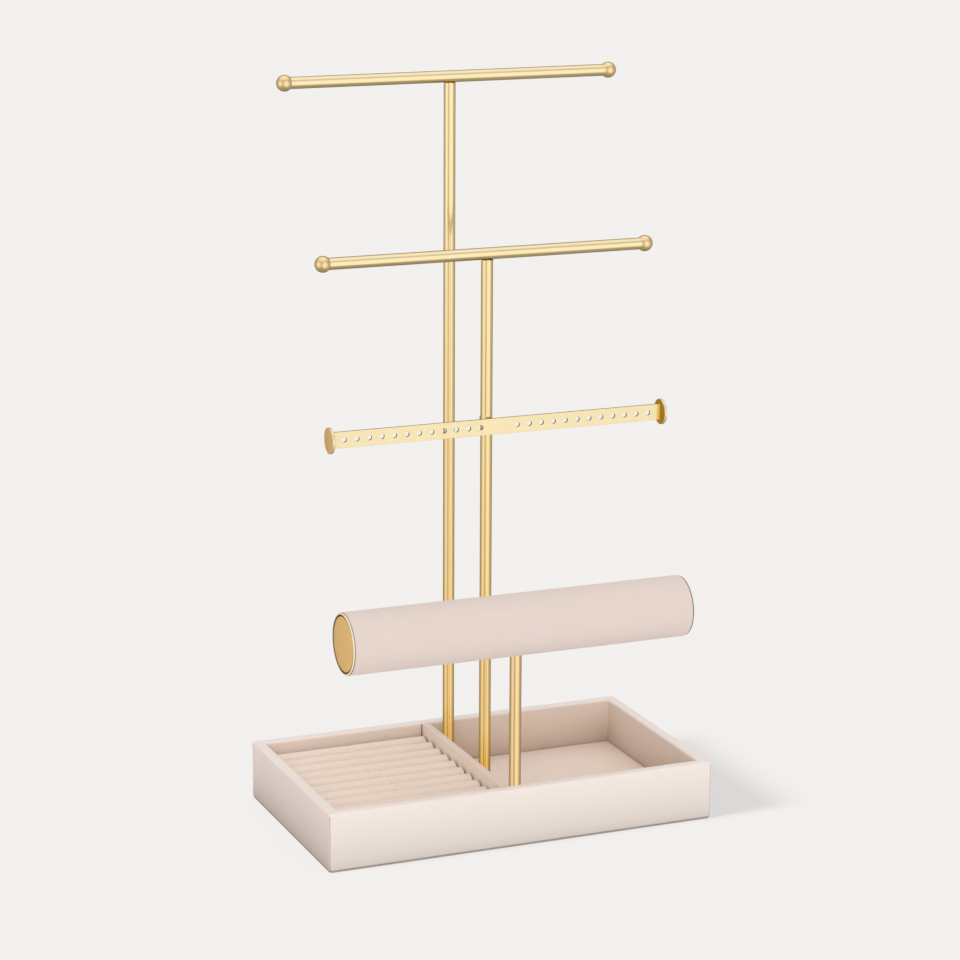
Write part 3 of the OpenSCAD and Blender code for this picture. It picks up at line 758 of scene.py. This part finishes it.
plate_gold = satin_gold("plate_gold", "#f9cd8c", "#efbd76", 0.34, 0.56)
plate_roll = 0.35 * MM
plate_dome = 0.5 * MM
roll_back = 0.1 * MM
hollow_depth = 0.55 * MM
hollow_edge = 0.3 * MM
rim_turn = (-0.2, 0.5)
for side, node in ((-1, "strip_left_disc"), (1, "strip_right_disc")):
    middle, radius, half = round_box(node)
    flat_r = radius - 2 * plate_roll
    profile = [(half - plate_dome * (i / 8) ** 2, flat_r * i / 8) for i in range(9)]
    profile += arc(half - plate_roll - roll_back, radius - plate_roll, plate_roll, 20, 90)
    profile += arc(plate_roll - half, radius - plate_roll, plate_roll, 90, 200)
    profile += [(hollow_depth - half, flat_r - hollow_edge), (hollow_depth - half, 0.0)]
    bm = turned([(side * x, r) for x, r in profile], middle)
    for face in bm.faces:
        place = face.calc_center_median() - middle
        from_axis = math.hypot(place.y, place.z)
        # painted shade: the plate's face turned to the strip is painted a deeper gold
        face.material_index = 1 if side * place.x < 0 and from_axis < radius - plate_roll else 0
        # painted highlight: the rolled rim's outer side is painted in the paler strip gold
        if rim_turn[0] < side * face.normal.x < rim_turn[1]:
            face.material_index = 2
    finish_piece(bm, node.replace("disc", "plate"), [plate_gold, plate_shade_gold, pale_gold],
                 "stand", [node])
veiled(gold, "satin_gold", "stand", "strip_spacer")


# ---------- Bracelet roll ----------
# A stiff card tube, plugged with fibreboard at its middle and ends, under a thin layer of foam and
# a sleeve of velvet sewn along its back. A pressed gold cap with a rounded rim and a low dome
# closes each end.
veiled(pulp_card, "card", "stand", "roll_core")
veiled(fibreboard, "fibreboard", "stand", "roll_block", "roll_left_plug", "roll_right_plug")
roll_middle, roll_radius, half_length = round_box("roll_cover")
sleeve_end = 0.7 * MM
sleeve_turn = 2.5 * MM
steps_along = 60
edge_of = half_length - sleeve_end
turned_in = (half_length, roll_radius - sleeve_turn)
profile = [turned_in] + arc(edge_of, roll_radius - sleeve_end, sleeve_end, 0, 90)
reach = edge_of - flat_from
profile += [(reach * (1 - 2 * i / steps_along), roll_radius) for i in range(steps_along + 1)]
profile += [(-x, r) for x, r in arc(edge_of, roll_radius - sleeve_end, sleeve_end, 90, 0)]
profile += [(-turned_in[0], turned_in[1])]
steps_round = 128
bm = turned(profile, roll_middle, steps_round)
sleeve_seam = 0.4 * MM
seam_angle = math.radians(225)
on_one_row = 0.01
for v in bm.verts:
    out_y = v.co.y - roll_middle.y
    out_z = v.co.z - roll_middle.z
    angle = math.atan2(out_z, -out_y)
    if abs(math.remainder(angle - seam_angle, 2 * math.pi)) < on_one_row:
        v.co -= sleeve_seam * Vector((0, out_y, out_z)).normalized()
roll_velvet = velvet("blush_roll_velvet", "#e1d1ca", "#d8c8bf")
sleeve = finish_piece(bm, "bracelet_roll_velvet", [roll_velvet], "stand",
                      ["roll_cover", "roll_foam"], 60)

cap_gold = satin_gold("cap_gold", "#ffd188", "#f5c272", 0.32, 0.40)
# painted highlight: the rolled rim is painted pale; painted shade: the groove and the left cap's side
# are painted dark, and the right cap's side, turned from the light, is nearly black
rim_highlight_gold = satin_gold("cap_rim_highlight", "#fdf0d0", "#f6e4bc", 0.30, 0.3)
shaded_brass = satin_gold("brass_turned_from_light", "#2e2318", "#261c13", 0.45)
cap_rim = 1.2 * MM
rim_flat = 0.1 * MM
rim_back = 0.6 * MM
cap_groove = 0.5 * MM
cap_dome = 0.85 * MM
sideways = 0.36
straight_out = 0.98
for side, node in ((-1, "roll_left_cap"), (1, "roll_right_cap")):
    middle, radius, half = round_box(node)
    rim_x = half - rim_back
    dome_r = radius - cap_rim - rim_flat - 2 * cap_groove
    profile = [(-half, 0.0), (-half, radius)]
    profile += arc(rim_x - cap_rim, radius - cap_rim, cap_rim, 90, 0)
    profile += [(rim_x, radius - cap_rim - rim_flat),
                (rim_x - cap_groove, radius - cap_rim - rim_flat - cap_groove)]
    profile += [(half - cap_dome * (1 - i / 10) ** 2, dome_r * (1 - i / 10)) for i in range(11)]
    bm = turned([(side * x, r) for x, r in profile], middle, steps_round)
    for face in bm.faces:
        place = face.calc_center_median() - middle
        from_axis = math.hypot(place.y, place.z)
        outward = side * face.normal.x
        in_groove = dome_r < from_axis < radius - cap_rim - rim_flat
        if outward < sideways and from_axis > radius - cap_rim / 2:
            face.material_index = 3
        elif outward < sideways or in_groove:
            face.material_index = 1
        elif from_axis > radius - cap_rim and outward < straight_out:
            face.material_index = 2
    cap_side = hollow_shade_brass if side < 0 else shaded_brass
    finish_piece(bm, node.replace("roll", "bracelet_roll"),
                 [cap_gold, hollow_shade_brass, rim_highlight_gold, cap_side], "stand", [node])


# ---------- Screws and plugs ----------
# Machine screws, washers and threaded plugs of zinc-plated steel, which hold the posts, the strip
# and the roll. Only the foot screws and washers under the tray and the head of the strip's screw,
# behind the middle post, can be seen.

# Bright zinc: pale grey with a faint blue cast and a slightly cloudy gloss.
zinc, tree, skin, cloud = mottled("zinc_plated_steel", "#b4b9be", "#cfd2d4", 1.5 * MM, 3.0,
                                  {"Metallic": 1.0})
gloss = add_node(tree, "MapRange", {"To Min": 0.25, "To Max": 0.45}, {"Value": cloud})
tree.links.new(gloss.outputs["Result"], skin.inputs["Roughness"])
paint(zinc, "foot_screws", "foot_washers", "rear_foot_plug", "middle_foot_plug",
      "front_foot_plug", "front_head_plug", "roll_stud", "strip_screw")
